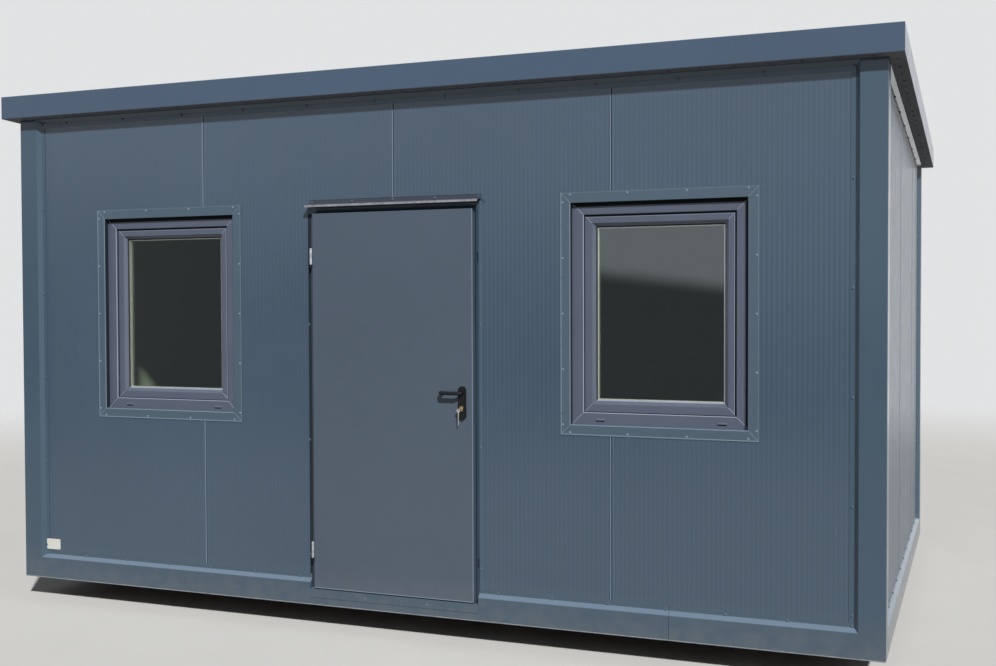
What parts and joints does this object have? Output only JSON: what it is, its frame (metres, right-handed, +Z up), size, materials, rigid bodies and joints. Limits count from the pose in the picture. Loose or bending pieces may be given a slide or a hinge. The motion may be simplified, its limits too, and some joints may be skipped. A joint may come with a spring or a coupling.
{
  "type": "portable site cabin",
  "caption": "Insulated sandwich panel site cabin in a folded steel frame on skids, with a mono-pitch roof, an outward opening steel door with lever handle and glazed windows.",
  "frame": {"origin": "ground level under the middle of the cabin, at the centre of its bounding box", "axes": "+X to the right seen from the front, +Y in through the door, +Z up"},
  "size_m": [4.94, 3.34, 2.9078],
  "materials": {
    "frame_steel": "semi-gloss",
    "fascia_steel": "semi-gloss",
    "panel_steel": "satin",
    "roof_steel": "satin",
    "door_steel": "satin",
    "joist_steel": "galvanised",
    "skid_steel": "matt",
    "zinc_steel": "galvanised",
    "plywood": "film faced",
    "black_plastic": "fine texture",
    "brass": "machined",
    "window_plastic": "foil grain",
    "glass": "clear"
  },
  "bodies": {
    "cabin": {"front_bottom_rail": "frame_steel", "front_top_rail": "frame_steel", "front_fascia": "fascia_steel", "right_bottom_rail": "frame_steel", "right_top_rail": "frame_steel", "right_fascia": "fascia_steel", "rear_bottom_rail": "frame_steel", "rear_top_rail": "frame_steel", "rear_fascia": "fascia_steel", "left_bottom_rail": "frame_steel", "left_top_rail": "frame_steel", "left_fascia": "fascia_steel", "front_left_post": "frame_steel", "front_right_post": "frame_steel", "rear_right_post": "frame_steel", "rear_left_post": "frame_steel", "front_wall_left": "panel_steel", "front_wall_door_left": "panel_steel", "front_wall_over_door": "panel_steel", "front_wall_door_right": "panel_steel", "front_wall_right": "panel_steel", "rear_wall": "panel_steel", "left_wall": "panel_steel", "right_wall": "panel_steel", "roof_panels": "roof_steel", "floor_joists": "joist_steel", "floor_deck": "plywood", "skids": "skid_steel", "door_frame": "door_steel", "door_threshold": "door_steel", "door_drip": "fascia_steel", "hinge_frame_halves": "zinc_steel", "left_window_flashing": "fascia_steel", "left_window_frame": "window_plastic", "left_window_sash": "window_plastic", "left_window_glass": "glass", "right_window_flashing": "fascia_steel", "right_window_frame": "window_plastic", "right_window_sash": "window_plastic", "right_window_glass": "glass"},
    "door": {"door_leaf": "door_steel", "hinge_leaf_halves": "zinc_steel", "lock_plates": "black_plastic", "lock_cylinder": "brass"},
    "lever": {"door_lever": "black_plastic"}
  },
  "joints": [
    {"name": "door_swing", "type": "hinge", "parent": "cabin", "child": "door", "pos_m": [-0.47125, -1.608, 1.19], "axis": [0, 0, -1], "range_deg": [0, 110]},
    {"name": "lever_turn", "type": "hinge", "parent": "door", "child": "lever", "pos_m": [0.383, -1.6, 1.267], "axis": [0, -1, 0], "range_deg": [0, 40], "stiffness_Nm_per_rad": 1.5, "springref_deg": -20.05}
  ]
}
